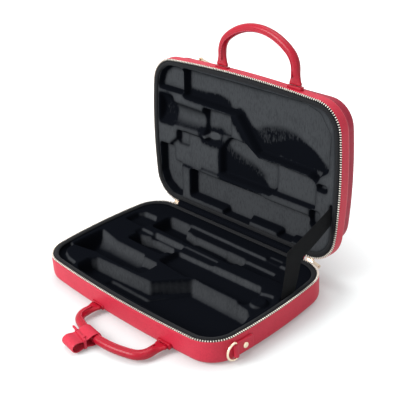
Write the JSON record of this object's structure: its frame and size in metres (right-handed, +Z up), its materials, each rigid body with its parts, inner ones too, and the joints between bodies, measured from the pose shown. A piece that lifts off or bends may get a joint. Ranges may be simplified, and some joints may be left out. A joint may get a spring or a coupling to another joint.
{
  "type": "oboe case",
  "caption": "Zipped leather clamshell case with moulded plush beds, a rolled handle on each half and a strap ring on each end.",
  "frame": {"origin": "centre of the base's flat bottom", "axes": "+Z up, +X towards the right end seen from the handle side, -Y towards the handle side"},
  "size_m": [0.3254, 0.3325, 0.3041],
  "materials": {
    "red_leather": "satin",
    "black_plush": "matte",
    "black_textile": "matte",
    "champagne_metal": "polished",
    "zip_metal": "satin",
    "shell_board": "matte",
    "handle_core": "matte"
  },
  "bodies": {
    "base": {"base_cover": "red_leather", "base_shell": "shell_board", "base_insert": "black_plush", "base_zip_tape": "black_textile", "base_zip_teeth": "zip_metal", "base_rim_binding": "black_textile", "hinge_leaf_base": "red_leather", "base_handle_welts": "red_leather", "left_ring_tab": "red_leather", "left_ring_rivet": "champagne_metal", "right_ring_tab": "red_leather", "right_ring_rivet": "champagne_metal", "left_main_slider": "champagne_metal", "right_main_slider": "champagne_metal", "lid_stay": "black_textile"},
    "lid": {"lid_cover": "red_leather", "lid_shell": "shell_board", "lid_insert": "black_plush", "lid_zip_tape": "black_textile", "lid_zip_teeth": "zip_metal", "lid_rim_binding": "black_textile", "hinge_leaf_lid": "red_leather", "lid_handle_welts": "red_leather", "pocket_gusset": "red_leather", "pocket_panel": "red_leather", "pocket_zip_tape": "black_textile", "pocket_zip_teeth": "zip_metal", "lid_piping": "red_leather"},
    "base_handle": {"base_handle_grip": "red_leather", "base_handle_core": "handle_core"},
    "lid_handle": {"lid_handle_grip": "red_leather", "lid_handle_core": "handle_core"},
    "wrap": {"handle_wrap": "red_leather", "wrap_belt": "red_leather", "wrap_snap": "red_leather"},
    "left_ring": {"left_d_ring": "champagne_metal"},
    "right_ring": {"right_d_ring": "champagne_metal"},
    "left_puller": {"left_main_puller": "champagne_metal"},
    "right_puller": {"right_main_puller": "champagne_metal"},
    "pocket_runner": {"pocket_slider": "champagne_metal"},
    "pocket_tag": {"pocket_puller": "champagne_metal"}
  },
  "joints": [
    {"name": "lid_hinge", "type": "hinge", "parent": "base", "child": "lid", "pos_m": [0, 0.1047, 0.034], "axis": [1, 0, 0], "range_deg": [0, 93.7], "deforming": ["lid_stay"]},
    {"name": "base_handle_swing", "type": "hinge", "parent": "base", "child": "base_handle", "pos_m": [0.024, -0.1072, 0.0085], "axis": [1, 0, 0], "range_deg": [-75, 0]},
    {"name": "lid_handle_swing", "type": "hinge", "parent": "lid", "child": "lid_handle", "pos_m": [0.024, 0.12736, 0.24488], "axis": [1, 0, 0], "range_deg": [-80, 25]},
    {"name": "wrap_swing", "type": "hinge", "parent": "base_handle", "child": "wrap", "pos_m": [0.00615, -0.14643, 0.0083], "axis": [0.9914, -0.1309, -0.0007], "range_deg": [-90, 0]},
    {"name": "right_ring_swing", "type": "hinge", "parent": "base", "child": "right_ring", "pos_m": [0.15968, -0.06691, 0.017], "axis": [0, 0, 1], "range_deg": [0, 120]},
    {"name": "left_ring_swing", "type": "hinge", "parent": "base", "child": "left_ring", "pos_m": [-0.15968, -0.06691, 0.017], "axis": [0, 0, -1], "range_deg": [0, 120]},
    {"name": "right_puller_swing", "type": "hinge", "parent": "base", "child": "right_puller", "pos_m": [0.1185, 0.11128, 0.02692], "axis": [0, -0.7071, -0.7071], "range_deg": [-80, 80]},
    {"name": "left_puller_swing", "type": "hinge", "parent": "base", "child": "left_puller", "pos_m": [-0.1185, 0.11128, 0.02692], "axis": [0, -0.7071, -0.7071], "range_deg": [-80, 80]},
    {"name": "pocket_zip_run", "type": "slide", "parent": "lid", "child": "pocket_runner", "axis": [1, 0, 0], "range_m": [0, 0.176]},
    {"name": "pocket_puller_swing", "type": "hinge", "parent": "pocket_runner", "child": "pocket_tag", "pos_m": [-0.088, 0.14188, 0.23662], "axis": [0, -0.9979, 0.0645], "range_deg": [0, 150]}
  ]
}
